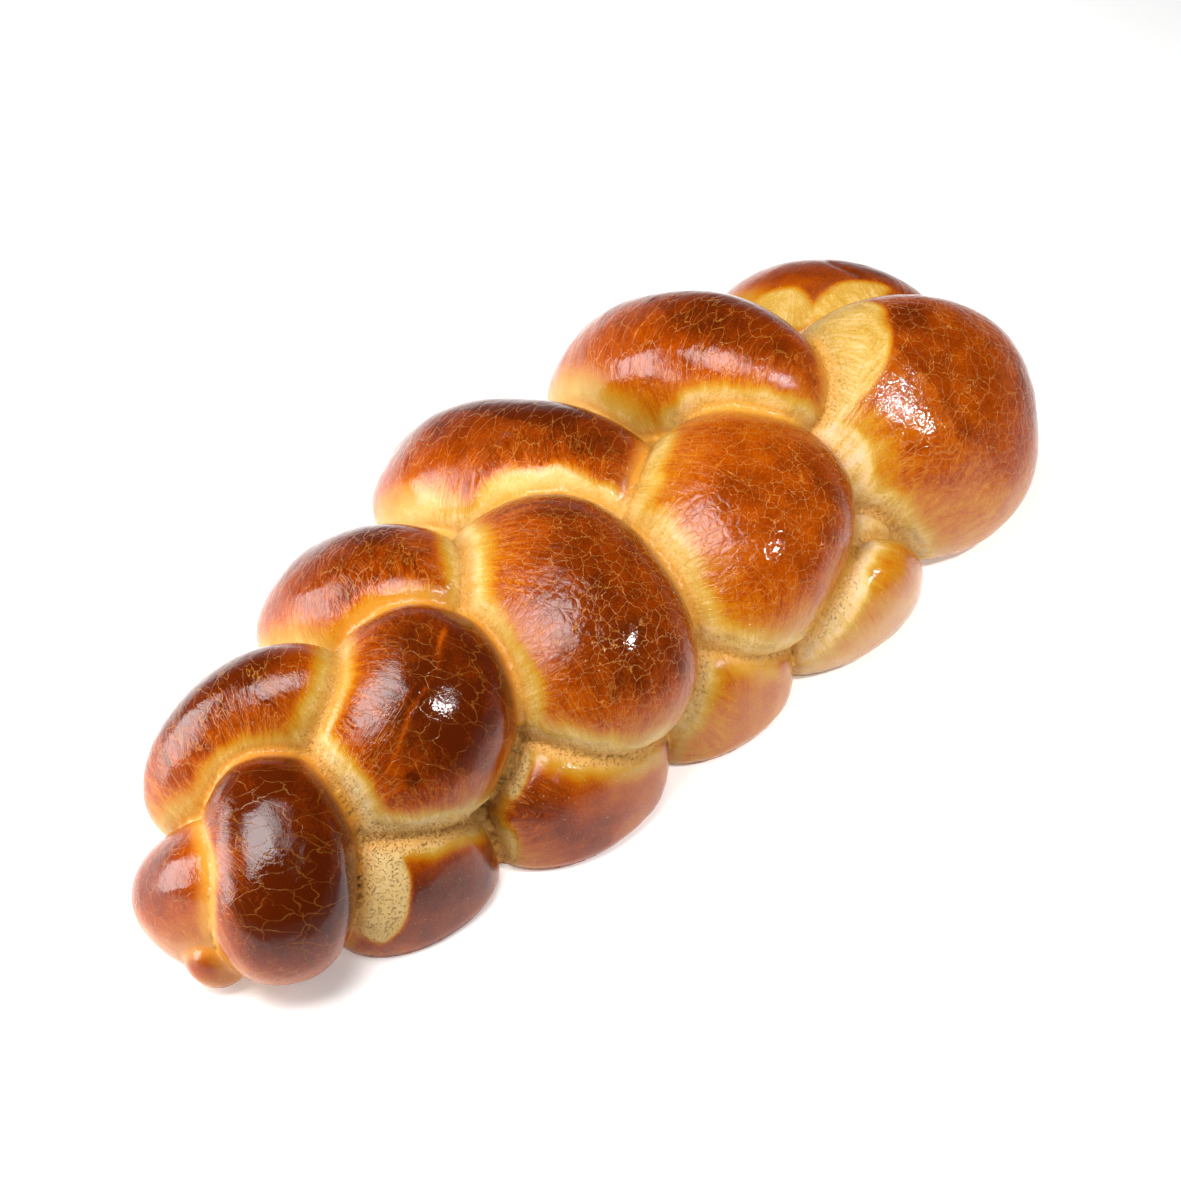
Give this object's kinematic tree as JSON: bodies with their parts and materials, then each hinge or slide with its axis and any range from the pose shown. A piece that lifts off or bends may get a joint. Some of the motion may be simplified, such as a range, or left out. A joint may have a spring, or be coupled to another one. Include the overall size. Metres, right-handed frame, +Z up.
{
  "type": "braided loaf",
  "caption": "Long oval braided bread loaf with bulging, overlapping strand humps, a thin tail, a thick head and a flat base that it rests on.",
  "frame": {"origin": "on the resting plane, under the middle of the loaf's length and width", "axes": "+X from the thin tail to the thick head, +Y towards the side where the humps of the upper left row hang down, +Z up from the flat base"},
  "size_m": [0.3914, 0.1809, 0.0926],
  "materials": {
    "crust": "egg-washed, browned bread crust: glossy chestnut brown humps with a fine light crackle, paler amber edges, and matte straw-coloured stretched bands in the folds"
  },
  "bodies": {
    "root": {"loaf": "crust"}
  },
  "joints": []
}
